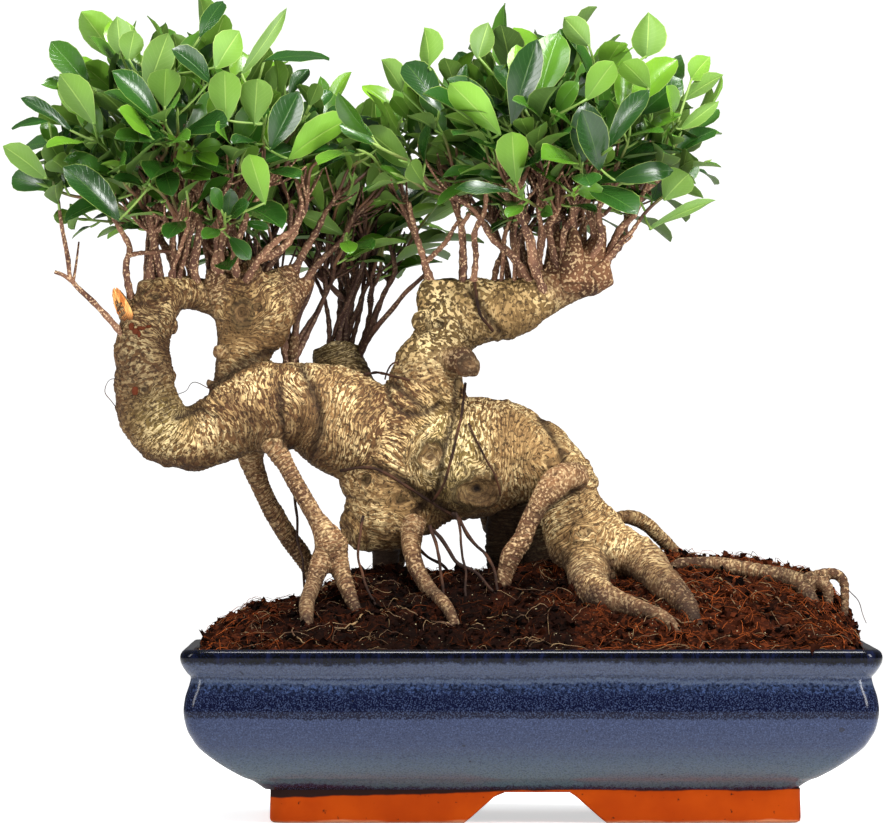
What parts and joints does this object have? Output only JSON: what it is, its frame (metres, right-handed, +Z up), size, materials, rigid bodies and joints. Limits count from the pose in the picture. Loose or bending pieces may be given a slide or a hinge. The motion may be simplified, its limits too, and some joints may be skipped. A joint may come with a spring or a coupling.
{
  "type": "bonsai tree in a pot",
  "caption": "Small ficus bonsai with a looped, root-bound trunk and leafy crowns, planted in mounded soil in a blue glazed rectangular pot.",
  "frame": {"origin": "on the surface that the pot's foot rests on, under the middle of the whole object's plan", "axes": "+X to the right along the pot's length, +Y to the back, +Z up"},
  "size_m": [0.569, 0.32, 0.5371],
  "materials": {
    "glaze": "gloss",
    "drain_plastic": "matte",
    "peat": "matte",
    "bark": "matte",
    "foliage": "satin"
  },
  "bodies": {
    "root": {"drain_screen_left": "drain_plastic", "drain_screen_right": "drain_plastic", "pot": "glaze", "shoot_01": "foliage", "shoot_02": "foliage", "shoot_03": "foliage", "shoot_04": "foliage", "shoot_05": "foliage", "shoot_06": "foliage", "shoot_07": "foliage", "shoot_08": "foliage", "shoot_09": "foliage", "shoot_10": "foliage", "shoot_11": "foliage", "shoot_12": "foliage", "shoot_13": "foliage", "shoot_14": "foliage", "shoot_15": "foliage", "shoot_16": "foliage", "shoot_17": "foliage", "shoot_18": "foliage", "shoot_19": "foliage", "shoot_20": "foliage", "shoot_21": "foliage", "shoot_22": "foliage", "shoot_23": "foliage", "shoot_24": "foliage", "shoot_25": "foliage", "shoot_26": "foliage", "shoot_27": "foliage", "shoot_28": "foliage", "shoot_29": "foliage", "soil": "peat", "tree": "bark"}
  },
  "joints": []
}
